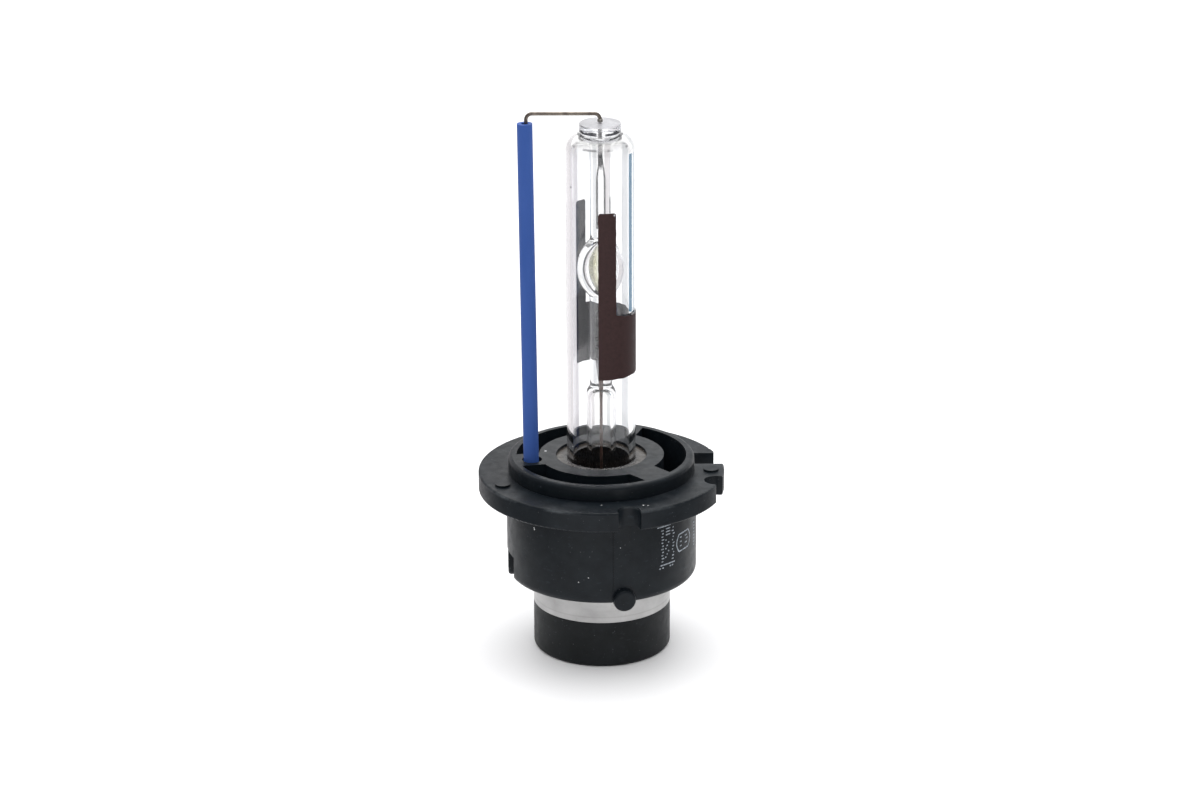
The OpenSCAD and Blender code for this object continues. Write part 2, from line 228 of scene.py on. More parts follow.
def tube_outline():
    """Outside of the arc tube: hollow foot with a domed top, lower stem, chamber and upper stem."""
    foot_r = 1.9 * MM
    foot_top = 36.6 * MM
    dome = 1.4 * MM
    straight_top = 35.0 * MM
    lower_stem_r = 1.45 * MM
    bow = 5.2 * MM
    blend = 0.25 * MM
    edge = 0.1 * MM
    top = jacket_high.z
    outline = [(FOOT_BORE_R, tube_low.z), (foot_r, tube_low.z)]
    outline += [(foot_r, z) for z in spread(tube_low.z, straight_top, 10)[1:-1]]
    for z in spread(straight_top, top - edge, 150):
        stem = lower_stem_r if z < CHAMBER_Z else STEM_R
        shoulder = 0.0
        if z < foot_top:
            lift = max(z - (foot_top - dome), 0)
            shoulder = foot_r - dome + math.sqrt(max(dome ** 2 - lift * lift, 0))
        wide = max(spindle(z, CHAMBER_R, bow), shoulder)
        outline.append((smooth_max(stem, wide, blend), z))
    return outline + [(STEM_R - edge, top), (0, top)]


def foot_bore():
    """Bore of the hollow foot, from its round top down."""
    top = 35.6 * MM
    straight_top = 34 * MM
    round_r = 1.0 * MM
    bore = [(0, top)]
    bore += arc(FOOT_BORE_R - round_r, top - round_r, round_r, 90, 0, 10)
    return bore + [(FOOT_BORE_R, z) for z in spread(straight_top, tube_low.z, 8)]


def chamber_bore():
    """The arc chamber's void, closed at both ends on the axis."""
    bow = 4.2 * MM
    half = math.sqrt(bow ** 2 - (bow - CHAMBER_BORE_R) ** 2)
    heights = spread(CHAMBER_Z - half, CHAMBER_Z + half, 40)
    side = [(spindle(z, CHAMBER_BORE_R, bow), z) for z in heights[1:-1]]
    return [(0, heights[0])] + side + [(0, heights[-1])]


def arc_tube_mesh():
    """Discharge tube with its foot bore, its chamber and the bubbles in its glass."""
    bm = bmesh.new()
    turn_outline(bm, tube_outline(), closed=False)
    turn_outline(bm, foot_bore(), closed=False)
    turn_outline(bm, chamber_bore(), closed=False, flip=True)
    for r, angle, z, size in BUBBLES:
        bubble(bm, (*turn(r * MM, angle), z * MM), size * MM)
    bmesh.ops.remove_doubles(bm, verts=bm.verts, dist=1e-8)
    return finish_mesh(bm, "arc_tube_quartz")


class Shell:
    """A thin closed skin on a round surface, built cell by cell from (angle, height) corners."""

    def __init__(self, r_in, r_out):
        self.bm = bmesh.new()
        self.radii = (r_in, r_out)
        self.points = {}
        self.cells = []

    def point(self, key, angle, z):
        """Adds a corner to both faces of the skin."""
        self.points[key] = [self.bm.verts.new((*turn(r, angle), z)) for r in self.radii]

    def cell(self, *keys):
        """Notes a cell by its corners' keys, anticlockwise seen from outside."""
        self.cells.append(keys)

    def finish(self, name):
        """Fills both faces of every cell and closes the rim along edges that only one cell has."""
        edges = {}
        for keys in self.cells:
            self.bm.faces.new([self.points[k][1] for k in keys])
            self.bm.faces.new([self.points[k][0] for k in reversed(keys)])
            for pair in zip(keys, keys[1:] + keys[:1]):
                edges[frozenset(pair)] = None if frozenset(pair) in edges else pair
        for pair in filter(None, edges.values()):
            (a_in, a_out), (b_in, b_out) = self.points[pair[0]], self.points[pair[1]]
            self.bm.faces.new([b_out, a_out, a_in, b_in])
        return finish_mesh(self.bm, name, smooth=False)


def wobble(u, v, seed, size):
    """Slow random drift, for the edge of a brushed film."""
    return size * noise.noise(Vector((u, v, seed)))


def band_top(angle):
    """Upper edge of the paint band: it creeps up beside the front stripe."""
    creep = max(0.0, 1 - abs(angle - FRONT_STRIPE[1]) / 50)
    return BAND_TOP + 0.7 * MM * creep ** 1.5 + wobble(angle / 9, 0, 1.7, 0.12 * MM)


def paint_mesh():
    """Glare shield: a band round the jacket with two stripes, its edges brushed by hand."""
    shell = Shell(JACKET_R + 0.008 * MM, JACKET_R + 0.05 * MM)
    low, high = coat_low.z, coat_high.z
    gap = (FRONT_STRIPE[1], REAR_STRIPE[0])
    angles = []
    for (start, end), count in ((FRONT_STRIPE, 16), (gap, 90), (REAR_STRIPE, 14)):
        angles += spread(start, end, count)[:-1]
    angles.append(REAR_STRIPE[1])
    rows = 24
    for j, angle in enumerate(angles):
        top = band_top(angle)
        foot = low + 0.06 * MM + wobble(angle / 14, 3, 5.1, 0.1 * MM)
        for i, z in enumerate(spread(foot, top, rows)):
            shell.point((j, i), angle, z)
            if i and j:
                shell.cell((j - 1, i - 1), (j, i - 1), (j, i), (j - 1, i))
    add_stripe(shell, FRONT_STRIPE, high, angles, rows)
    add_stripe(shell, REAR_STRIPE, high - 0.4 * MM, angles, rows)
    return shell.finish("shield_paint")


def stripe_end(across, arc_length, tip, seed):
    """Height of a stripe's end at a share of its width: rounded corners and a slightly ragged line."""
    corner = 0.3 * MM
    inset = 0.05 * MM
    edge = min(across, 1 - across) * arc_length
    drop = corner - math.sqrt(max(corner ** 2 - max(corner - edge, 0) ** 2, 0))
    return tip - drop - inset + wobble(across * 4, 0, seed, 0.07 * MM)


def add_stripe(shell, stripe, tip, angles, base_row):
    """Carries the band's columns between the stripe's two edges up to its end."""
    columns = [j for j, angle in enumerate(angles) if stripe[0] <= angle <= stripe[1]]
    rows = 70
    rows_to_full_drift = 6
    ripple = 0.9 * MM
    arc_length = math.radians(stripe[1] - stripe[0]) * JACKET_R
    for j in columns:
        across = (angles[j] - stripe[0]) / (stripe[1] - stripe[0])
        top = stripe_end(across, arc_length, tip, stripe[0])
        side = 1 - across if across < 0.5 else across
        for i, z in enumerate(spread(band_top(angles[j]), top, rows)[1:], base_row + 1):
            grow = min(1, (i - base_row) / rows_to_full_drift)
            drift = grow * (2 * side - 1) * wobble(z / ripple, across > 0.5, stripe[0], 0.6)
            shell.point((j, i), angles[j] + drift, z)
            if j > columns[0]:
                shell.cell((j - 1, i - 1), (j, i - 1), (j, i), (j - 1, i))


def stroke(shell, name, points, wide):
    """A printed line through (angle, height) points on the skirt, drawn as a ribbon."""
    for i, (angle, z) in enumerate(points):
        before, after = points[max(i - 1, 0)], points[min(i + 1, len(points) - 1)]
        run = Vector((math.radians(after[0] - before[0]) * SKIRT_R, after[1] - before[1])).normalized()
        across = Vector((-run.y, run.x)) * wide / 2
        lean = math.degrees(across.x / SKIRT_R)
        shell.point((name, i, "a"), angle + lean, z + across.y)
        shell.point((name, i, "b"), angle - lean, z - across.y)
        if i:
            shell.cell((name, i - 1, "b"), (name, i, "b"), (name, i, "a"), (name, i - 1, "a"))


def dash(angle, z, width):
    """A short printed line round the skirt, centred on an angle."""
    return [(angle - width / 2, z * MM), (angle + width / 2, z * MM)]


def table_strokes():
    """Two ruled lines, two columns of dashes between them, and shorter rows beside and below."""
    strokes = [
        [(angle, 20.1 * MM) for angle in spread(-54.8, -44.4, 8)],
        [(angle, 14.7 * MM) for angle in spread(-52.3, -40.5, 8)],
    ]
    for row in range(11):
        z = 15.2 + row * 0.435
        strokes.append(dash(-51 + 0.4 * (row % 2), z, 1.3 + 0.6 * (row % 3 == 1)))
        strokes.append(dash(-42.6 + 0.5 * (row % 3), z, 0.9 + 0.7 * (row % 4 < 2)))
    strokes += [dash(-46.5, 18.82 + row * 0.42, 3.6) for row in range(3)]
    strokes += [dash(-48.3 + 1.1 * (row % 3), 15.7 + row * 0.4, 1.0) for row in range(7)]
    strokes += [dash(angle, 14.3, 1.2) for angle in (-52.8, -50.5, -44.5, -42.6)]
    return strokes


def frame_strokes():
    """A barrel-shaped frame with two columns of dashes in it."""
    left, right = -36.4, -25.8
    low, height = 15.7, 2.4
    strokes = []
    for side, bow in ((left, -2.4), (right, 2.9)):
        shares = spread(0, 1, 10)
        strokes.append([(side + bow * math.sin(math.pi * t), (low + height * t) * MM) for t in shares])
    for z in (low, low + height):
        strokes.append([(angle, z * MM) for angle in spread(left, right, 8)])
    for row in range(3):
        strokes.append(dash(-34.5, 16.4 + row * 0.6, 1.8))
        strokes.append(dash(-28.6 + 1.2 * (row % 2), 16.5 + row * 0.5, 2.4))
    return strokes


def marks_mesh():
    """Printed rating marks with no letters, laid out in degrees round the skirt and millimetres up it."""
    shell = Shell(SKIRT_R - 0.02 * MM, SKIRT_R + 0.01 * MM)
    column = [dash(-14.8, 15.0 + row * 0.45, 1.5 + 0.8 * (row % 2)) for row in range(8)]
    for name, points in enumerate(table_strokes() + frame_strokes() + column):
        stroke(shell, name, points, MARK_LINE)
    return shell.finish("rating_marks")


# ---------------------------------------------------------------- materials

class Net:
    """A material's node tree, with short calls for the nodes that most surfaces share."""

    def __init__(self, name):
        self.material = bpy.data.materials.new(name)
        self.material.use_nodes = True
        self.tree = self.material.node_tree
        self.shader = self.tree.nodes["Principled BSDF"]
        self.place = self.add("ShaderNodeTexCoord").outputs["Object"]

    def add(self, kind, **settings):
        node = self.tree.nodes.new(kind)
        for key, value in settings.items():
            setattr(node, key, value)
        return node

    def link(self, out, into):
        self.tree.links.new(out, into)

    def noise(self, size_mm, detail=3, rough=0.55, stretch=(1, 1, 1), offset=0.0):
        """Noise whose features are about size_mm across, stretched along each axis."""
        fit = self.add("ShaderNodeMapping")
        fit.inputs["Scale"].default_value = [s / (size_mm * MM) for s in stretch]
        fit.inputs["Location"].default_value = (offset, offset, offset)
        self.link(self.place, fit.inputs["Vector"])
        tex = self.add("ShaderNodeTexNoise")
        tex.inputs["Scale"].default_value = 1.0
        tex.inputs["Detail"].default_value = detail
        tex.inputs["Roughness"].default_value = rough
        self.link(fit.outputs["Vector"], tex.inputs["Vector"])
        return tex.outputs["Fac"]

    def ramp(self, value, low, high, out_low=0.0, out_high=1.0):
        """Carries low to high over to out_low to out_high, and holds the ends beyond."""
        node = self.add("ShaderNodeMapRange")
        node.inputs["From Min"].default_value = low
        node.inputs["From Max"].default_value = high
        node.inputs["To Min"].default_value = out_low
        node.inputs["To Max"].default_value = out_high
        self.link(value, node.inputs["Value"])
        return node.outputs["Result"]

    def math(self, kind, *values):
        """One sum on numbers or sockets."""
        node = self.add("ShaderNodeMath", operation=kind)
        for socket, value in zip(node.inputs, values):
            if isinstance(value, (int, float)):
                socket.default_value = value
            else:
                self.link(value, socket)
        return node.outputs["Value"]

    def away(self, value, middle):
        """How far a value is from a middle."""
        return self.math("ABSOLUTE", self.math("SUBTRACT", value, middle))

    def both(self, *masks):
        """Product of masks: 1 only where every mask is 1."""
        return functools.reduce(lambda a, b: self.math("MULTIPLY", a, b), masks)

    def either(self, *masks):
        """The largest of several masks."""
        return functools.reduce(lambda a, b: self.math("MAXIMUM", a, b), masks)

    def mix(self, fac, a, b):
        """From colour a to colour b, each a tuple or a socket."""
        node = self.add("ShaderNodeMix", data_type="RGBA")
        self.link(fac, node.inputs["Factor"])
        for socket, value in ((node.inputs[6], a), (node.inputs[7], b)):
            if isinstance(value, tuple):
                socket.default_value = (*value, 1)
            else:
                self.link(value, socket)
        return node.outputs[2]

    def bump(self, height, strength, depth_mm):
        """Raises the surface by a height socket."""
        node = self.add("ShaderNodeBump")
        node.inputs["Strength"].default_value = strength
        node.inputs["Distance"].default_value = depth_mm * MM
        self.link(height, node.inputs["Height"])
        self.link(node.outputs["Normal"], self.shader.inputs["Normal"])

    def axes(self):
        """The place on the object, as x, y and z sockets."""
        node = self.add("ShaderNodeSeparateXYZ")
        self.link(self.place, node.inputs["Vector"])
        return node.outputs

    def radius(self):
        """Distance from the lamp axis, in metres."""
        x, y, _ = self.axes()
        square = self.math("ADD", self.math("MULTIPLY", x, x), self.math("MULTIPLY", y, y))
        return self.math("SQRT", square)

    def base(self):
        """The colour linked so far."""
        return self.shader.inputs["Base Color"].links[0].from_socket

    def colour(self, out):
        self.link(out, self.shader.inputs["Base Color"])

    def rough(self, out):
        self.link(out, self.shader.inputs["Roughness"])

    def set(self, **values):
        """Sets plain values on the shader's own sockets."""
        for key, value in values.items():
            self.shader.inputs[key.replace("_", " ")].default_value = value


def black_moulding(name, dark, light, rough):
    """Glass-filled black moulding: mottled, finely grained, with pale scuffs and dust specks."""
    net = Net(name)
    mottle = net.mix(net.ramp(net.noise(2.5, 5), 0.35, 0.7), dark, light)
    scuff = net.ramp(net.noise(1.8, 6, 0.7, (1, 1, 2.2), 4.0), 0.6, 0.72, 0, 0.5)
    scuffed = net.mix(scuff, mottle, tuple(c * 2.8 for c in light))
    dust = net.ramp(net.noise(0.22, 1, 0.3, offset=9.0), 0.76, 0.8, 0, 0.3)
    net.colour(net.mix(dust, scuffed, (0.2, 0.21, 0.22)))
    net.rough(net.ramp(net.noise(1.2, 4), 0.3, 0.75, rough - 0.06, rough + 0.1))
    net.bump(net.noise(0.16, 3), 0.35, 0.02)
    net.set(Specular_IOR_Level=0.18)
    return net


def housing_material():
    """Black housing: its flange is rubbed and smeared, and a few white flecks stick to it."""
    net = black_moulding("moulded_housing", (0.0045, 0.0068, 0.0095), (0.0085, 0.012, 0.0155), 0.4)
    flange_top = housing_high.z - 2.0 * MM
    height = net.axes()["Z"]
    below = net.ramp(height, flange_top - 0.15 * MM, flange_top + 0.05 * MM, 1, 0)
    above = net.ramp(height, flange_top - 0.4 * MM, flange_top - 0.1 * MM)
    smear = net.ramp(net.noise(4.5, 5, 0.62, offset=2.0), 0.48, 0.66)
    rubbed = net.mix(net.both(below, above, smear, 0.9), net.base(), (0.075, 0.083, 0.09))
    flecks = [spot(net, place, size) for place, size in FLECKS]
    net.colour(net.mix(net.either(*flecks), rubbed, (0.62, 0.63, 0.64)))
    return net.material


def socket_material():
    """The socket end's moulding, a little duller than the housing."""
    return black_moulding("moulded_socket", (0.005, 0.0065, 0.0075), (0.01, 0.012, 0.014), 0.46).material


def ring_material():
    """Bright tinned ring, drawn round the lamp, with scuffs where a socket has gripped it."""
    net = Net("drawn_ring")
    tone = net.mix(net.ramp(net.noise(3.5, 4), 0.3, 0.7), (0.35, 0.347, 0.345), (0.46, 0.456, 0.452))
    stain = net.ramp(net.noise(0.9, 5, 0.7, (1, 1, 0.5), 3.0), 0.6, 0.78, 0, 0.4)
    stained = net.mix(stain, tone, (0.3, 0.275, 0.235))
    crease_z = ring_low.z + 0.75 * MM
    # Painted shade: a darker line along the crease near the ring's lower edge
    crease_shade = net.ramp(net.away(net.axes()["Z"], crease_z), 0, 0.13 * MM, 0.28, 0)
    net.colour(net.mix(crease_shade, stained, (0.2, 0.19, 0.18)))
    net.rough(net.ramp(net.noise(0.5, 4, 0.6, (0.2, 0.2, 3)), 0.3, 0.7, 0.28, 0.46))
    net.bump(net.noise(0.3, 3, 0.6, (0.05, 0.05, 3)), 0.25, 0.01)
    net.set(Metallic=1.0)
    return net.material


def metal(name, low, high, rough):
    """Plain metal with stains and a fine grain."""
    net = Net(name)
    grain_mm = 0.3
    net.colour(net.mix(net.ramp(net.noise(grain_mm * 3, 4), 0.3, 0.7), low, high))
    net.rough(net.ramp(net.noise(grain_mm, 3, 0.6), 0.3, 0.7, rough - 0.07, rough + 0.1))
    net.bump(net.noise(grain_mm / 2, 3, 0.6), 0.2, 0.006)
    net.set(Metallic=1.0)
    return net.material


def foil_material():
    """Rolled foil, mirror bright on its flat face, etched dark along its edges and its pointed end."""
    net = Net("molybdenum_foil")
    x, _, z = net.axes()
    middle = (foil_low.x + foil_high.x) / 2
    half = foil_high.x - middle
    taper = 3.3 * MM
    side = net.ramp(z, foil_high.z - taper, foil_high.z, half, half / 4)
    edge = net.ramp(net.math("DIVIDE", net.away(x, middle), side), 0.5, 0.72)
    point = net.ramp(z, foil_high.z - 2.3 * MM, foil_high.z - 1.7 * MM)
    patchy = net.ramp(net.noise(0.4, 4), 0.25, 0.5, 0.6, 1)
    net.colour(net.mix(net.both(net.either(edge, point), patchy), (0.97, 0.97, 0.975), (0.06, 0.06, 0.065)))
    net.rough(net.ramp(net.noise(0.6, 3), 0.3, 0.7, 0.04, 0.14))
    net.bump(net.noise(1.2, 2, 0.5, (1, 1, 0.3)), 0.1, 0.01)
    net.set(Metallic=1.0)
    return net.material


def lead_material():
    """Bright lead wire, burnt dark where it is welded to the foil."""
    net = Net("tip_lead")
    burnt = net.ramp(net.axes()["Z"], foil_high.z - 0.3 * MM, foil_high.z + 0.5 * MM, 1, 0)
    bright = net.mix(net.ramp(net.noise(0.6, 4), 0.3, 0.7), (0.5, 0.49, 0.49), (0.72, 0.71, 0.71))
    net.colour(net.mix(burnt, bright, (0.06, 0.06, 0.065)))
    net.rough(net.ramp(net.noise(0.3, 3), 0.3, 0.7, 0.18, 0.34))
    net.bump(net.noise(0.2, 3), 0.1, 0.006)
    net.set(Metallic=1.0)
    return net.material


def quartz(name, tint):
    """Clear quartz with the slight ripples of drawn tube."""
    net = Net(name)
    net.colour(net.mix(net.ramp(net.noise(3, 2), 0.3, 0.7), tint, tuple(min(c * 1.01, 1) for c in tint)))
    net.rough(net.ramp(net.noise(1.5, 3), 0.55, 0.75, 0, 0.02))
    net.bump(net.noise(2.2, 2, 0.5, (1, 1, 0.25)), 0.06, 0.02)
    net.set(IOR=1.458, Transmission_Weight=1.0)
    return net


def spot(net, place, size):
    """1 inside a small ragged spot on the surface, 0 outside, with places in millimetres."""
    offset = net.add("ShaderNodeVectorMath", operation="DISTANCE")
    net.link(net.place, offset.inputs[0])
    offset.inputs[1].default_value = [v * MM for v in place]
    ragged = net.math("MULTIPLY_ADD", net.noise(0.15, 3), 0.3 * size * MM, offset.outputs["Value"])
    return net.ramp(ragged, size * MM, 1.2 * size * MM, 1, 0)


def shoulder_painted_dark(net):
    """Painted dark refraction: ragged dark crescents on the jacket's shoulder, at both sides of the button.
    """
    x, _, z = net.axes()
    shoulder_z = jacket_high.z - 0.5 * MM
    ring = net.ramp(net.away(net.radius(), 2.7 * MM), 0.2 * MM, 0.28 * MM, 1, 0)
    above = net.ramp(z, shoulder_z, shoulder_z + 0.1 * MM)
    side = net.ramp(net.away(x, 0.0), 1.7 * MM, 2.1 * MM)
    return net.both(ring, above, side, net.ramp(net.noise(0.8, 3), 0.35, 0.5))


def crown_seam(net):
    """Broken dark line inside the jacket, where its crown was closed."""
    seam_z = jacket_high.z - 1.45 * MM
    line = net.ramp(net.away(net.axes()["Z"], seam_z), 0.05 * MM, 0.16 * MM, 1, 0)
    inside = net.ramp(net.radius(), JACKET_BORE_R, JACKET_BORE_R + 0.1 * MM, 1, 0)
    return net.both(line, inside, net.ramp(net.noise(1.1, 3, offset=5.0), 0.4, 0.55))


def jacket_material():
    """Clear quartz with specks burnt on it, painted shade at the shoulder and painted dark refraction round
    the button.
    """
    net = quartz("clear_jacket", (0.94, 0.94, 0.945))
    near_top = net.ramp(net.axes()["Z"], jacket_high.z - 3.2 * MM, jacket_high.z - 0.6 * MM)
    # Painted shade: the jacket's top few millimetres greyed towards the crown
    shoulder_painted_shade = net.both(near_top, net.ramp(net.noise(1.6, 3), 0.3, 0.7, 0.6, 1))
    shoulder_shaded = net.mix(shoulder_painted_shade, net.base(), (0.74, 0.74, 0.735))
    seamed = net.mix(crown_seam(net), shoulder_shaded, (0.12, 0.12, 0.125))
    specks = [spot(net, (*turn(JACKET_R / MM, angle), height), size) for angle, height, size in SPECKS]
    # The specks are burnt on; the shoulder mark mixed in here is painted dark refraction
    net.colour(net.mix(net.either(*specks, shoulder_painted_dark(net)), seamed, SPECK_AND_PAINTED_DARK))
    return net.material


def tip_painted_dark(net):
    """Painted dark refraction: a wavy black band on the button's lower rim, higher on its front half and
    broken at the lead.
    """
    x, y, z = net.axes()
    lift = net.ramp(y, -1.2 * MM, -0.4 * MM, -0.17 * MM, 0)
    wave = net.math("MULTIPLY_ADD", net.noise(1.5, 2, offset=1.0), -0.95 * MM, z)
    low = net.ramp(net.math("ADD", lift, wave), cap_low.z - 0.04 * MM, cap_low.z + 0.06 * MM, 1, 0)
    rim = net.ramp(net.radius(), 2.45 * MM, 2.55 * MM)
    beside_lead = net.ramp(net.away(x, 0.1 * MM), 0.3 * MM, 0.6 * MM)
    return net.both(low, rim, beside_lead)


def tip_shade(net):
    """Dark upper edge on the button's left side."""
    x, _, z = net.axes()
    upper = net.ramp(z, cap_high.z - 0.25 * MM, cap_high.z - 0.15 * MM)
    return net.both(upper, net.ramp(x, -1.6 * MM, -1.2 * MM, 1, 0), 0.8)


def tip_material():
    """Flame-fused button: clear sides, its top clouded by fuming, its lower rim painted black as dark
    refraction.
    """
    net = quartz("clouded_tip", (0.9, 0.905, 0.92))
    top = net.ramp(net.axes()["Z"], cap_high.z - 0.12 * MM, cap_high.z - 0.04 * MM)
    net.rough(net.both(top, net.ramp(net.noise(0.35, 4, 0.7), 0.3, 0.7, 0.3, 0.5)))
    # Painted dark refraction: the button's lower rim mixed to near black
    tip_darkened = net.mix(tip_painted_dark(net), net.base(), SPECK_AND_PAINTED_DARK)
    shaded = net.mix(tip_shade(net), tip_darkened, (0.08, 0.08, 0.085))
    cloud = net.mix(net.ramp(net.noise(0.5, 4, 0.6), 0.3, 0.7), (0.38, 0.38, 0.4), (0.52, 0.52, 0.545))
    net.link(net.ramp(top, 0, 1, 1, 0.3), net.shader.inputs["Transmission Weight"])
    net.colour(net.mix(top, shaded, cloud))
    return net.material


def ceramic(name, low, high, rough):
    """Dull fired or poured material with a fine, even grain."""
    net = Net(name)
    net.colour(net.mix(net.ramp(net.noise(0.9, 5), 0.3, 0.7), low, high))
    net.rough(net.ramp(net.noise(0.4, 3), 0.3, 0.7, rough - 0.05, rough + 0.1))
    net.bump(net.noise(0.25, 4), 0.2, 0.015)
    return net.material


def cement_material():
    """Glazed cement, translucent brown where it meets the hub; under the jacket it is painted nearly black
    as shade.
    """
    net = Net("glazed_cement")
    beyond_painted_shade = net.ramp(net.radius(), JACKET_R + 0.1 * MM, JACKET_R + 0.9 * MM)
    brown = net.mix(net.ramp(net.noise(0.7, 5, 0.7), 0.3, 0.7), (0.01, 0.008, 0.0065), (0.06, 0.05, 0.041))
    # Painted shade: the cement under the jacket is mixed to near black
    net.colour(net.mix(beyond_painted_shade, (0.007, 0.006, 0.0055), brown))
    net.rough(net.ramp(net.noise(0.9, 3), 0.3, 0.7, 0.14, 0.42))
    net.bump(net.noise(1.2, 3), 0.2, 0.04)
    net.set(Specular_IOR_Level=0.3)
    return net.material


def blue_material():
    """Blue insulating tube: even blue, with a faint long grain from drawing."""
    net = Net("blue_insulation")
    tone = net.ramp(net.noise(2.0, 3, 0.5, (1, 1, 0.2)), 0.3, 0.7)
    net.colour(net.mix(tone, (0.034, 0.088, 0.315), (0.042, 0.1, 0.345)))
    net.rough(net.ramp(net.noise(0.5, 3), 0.3, 0.7, 0.5, 0.62))
    net.bump(net.noise(0.3, 3, 0.6, (1, 1, 0.15)), 0.15, 0.01)
    net.set(Specular_IOR_Level=0.15)
    return net.material


def paint_material():
    """Dark brown shield paint outside; its inner face, bonded to the quartz, reads grey."""
    net = Net("shield_paint")
    blotch = net.ramp(net.noise(0.5, 5, 0.65), 0.3, 0.75)
    brown = net.mix(blotch, (0.03, 0.014, 0.014), (0.048, 0.024, 0.024))
    grey = net.mix(net.ramp(net.noise(0.8, 4), 0.3, 0.7), (0.027, 0.0265, 0.031), (0.045, 0.044, 0.05))
    inner = net.ramp(net.radius(), JACKET_R + 0.02 * MM, JACKET_R + 0.035 * MM, 1, 0)
    net.colour(net.mix(spot(net, *PAINT_CHIP), net.mix(inner, brown, grey), (0.5, 0.5, 0.52)))
    net.rough(net.ramp(net.noise(0.5, 4), 0.3, 0.7, 0.5, 0.68))
    net.bump(net.noise(0.22, 4, 0.6), 0.3, 0.012)
    net.set(Specular_IOR_Level=0.2)
    return net.material


def ink_material():
    """Pale printing ink, rubbed thin in places."""
    net = Net("marking_ink")
    worn = net.ramp(net.noise(0.3, 4, 0.7), 0.35, 0.6)
    net.colour(net.mix(worn, (0.1, 0.115, 0.13), (0.36, 0.4, 0.45)))
    net.rough(net.ramp(net.noise(0.4, 3), 0.3, 0.7, 0.5, 0.7))
    net.bump(net.noise(0.1, 3), 0.2, 0.01)
    return net.material


def film_material():
    """Salt film: a thin cream haze of fine crystals."""
    net = Net("salt_film")
    haze = net.ramp(net.noise(1.4, 3, 0.6), 0.3, 0.7)
    net.colour(net.mix(haze, (0.86, 0.85, 0.68), (0.95, 0.94, 0.84)))
    net.rough(net.ramp(net.noise(0.6, 3), 0.3, 0.7, 0.1, 0.3))
    net.bump(net.noise(0.4, 3), 0.06, 0.01)
    net.set(IOR=1.2, Transmission_Weight=0.85)
    return net.material


def floor_material():
    """Matte, nearly white studio floor."""
    net = Net("pale_floor")
    net.colour(net.mix(net.ramp(net.noise(40, 4), 0.3, 0.7), (0.9, 0.9, 0.91), (0.92, 0.92, 0.928)))
    net.rough(net.ramp(net.noise(12, 3), 0.3, 0.7, 0.55, 0.65))
    net.set(Specular_IOR_Level=0.25)
    return net.material


# ---------------------------------------------------------------- build

def dress(node_name, mat):
    """Puts one material on every slot of a CAD node."""
    data = nodes[node_name].data
    data.materials.clear()
    data.materials.append(mat)


def visible_piece(piece, node_name, mat):
    """Shows a finer mesh in place of a CAD node."""
    piece.data.materials.append(mat)
    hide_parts(node_name)
    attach(piece, "root")
    return piece


clear_quartz = quartz("clear_arc_tube", (0.955, 0.955, 0.95)).material
glass = [
    visible_piece(jacket_mesh(), "outer_jacket", jacket_material()),
    visible_piece(cap_mesh(), "seal_cap", tip_material()),
    visible_piece(arc_tube_mesh(), "arc_tube", clear_quartz),
]
for piece in glass:
    piece.visible_diffuse = False
    piece.visible_shadow = False
visible_piece(paint_mesh(), "shield_coating", paint_material())
marks = marks_mesh()
marks.data.materials.append(ink_material())
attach(marks, "root")

dress("base_housing", housing_material())
dress("connector_body", socket_material())
dress("contact_ring", ring_material())
dress("centre_contact", metal("plated_pin", (0.62, 0.5, 0.26), (0.75, 0.62, 0.35), 0.3))
dress("lead_sleeve", ceramic("fired_ceramic", (0.7, 0.68, 0.62), (0.8, 0.78, 0.72), 0.6))
dress("base_potting", ceramic("poured_resin", (0.02, 0.018, 0.016), (0.05, 0.045, 0.04), 0.4))
dress("ring_weld", metal("weld_bead", (0.25, 0.24, 0.22), (0.4, 0.38, 0.35), 0.45))
dress("top_weld", metal("tip_weld_bead", (0.25, 0.24, 0.22), (0.4, 0.38, 0.35), 0.4))
dress("hub_cement", cement_material())
dress("upper_electrode", metal("drawn_tungsten", (0.16, 0.16, 0.16), (0.26, 0.26, 0.26), 0.4))
dress("lower_electrode", metal("drawn_tungsten_low", (0.16, 0.16, 0.16), (0.26, 0.26, 0.26), 0.4))
dress("upper_foil", foil_material())
dress("lower_foil", metal("molybdenum_foil_low", (0.25, 0.25, 0.26), (0.42, 0.42, 0.43), 0.3))
dress("upper_lead", lead_material())
dress("lower_lead", metal("oxidised_lead", (0.08, 0.04, 0.03), (0.18, 0.11, 0.09), 0.45))
dress("halide_salts", film_material())
dress("mercury_bead", metal("mercury", (0.6, 0.6, 0.62), (0.7, 0.7, 0.72), 0.1))
dress("insulator_tube", blue_material())
dress("return_wire", metal("heat_tinted_wire", (0.12, 0.1, 0.09), (0.3, 0.26, 0.22), 0.4))


# ---------------------------------------------------------------- stage

def build_floor():
    """Wide flat floor, just clear of the lamp's end face."""
    half = 3.0
    gap = 0.02 * MM
    bm = bmesh.new()
    corners = [(-half, -half, 0), (half, -half, 0), (half, half, 0), (-half, half, 0)]
    bm.faces.new([bm.verts.new(corner) for corner in corners])
    floor = finish_mesh(bm, "floor", smooth=False)
    floor.location.z = -gap
    floor.data.materials.append(floor_material())


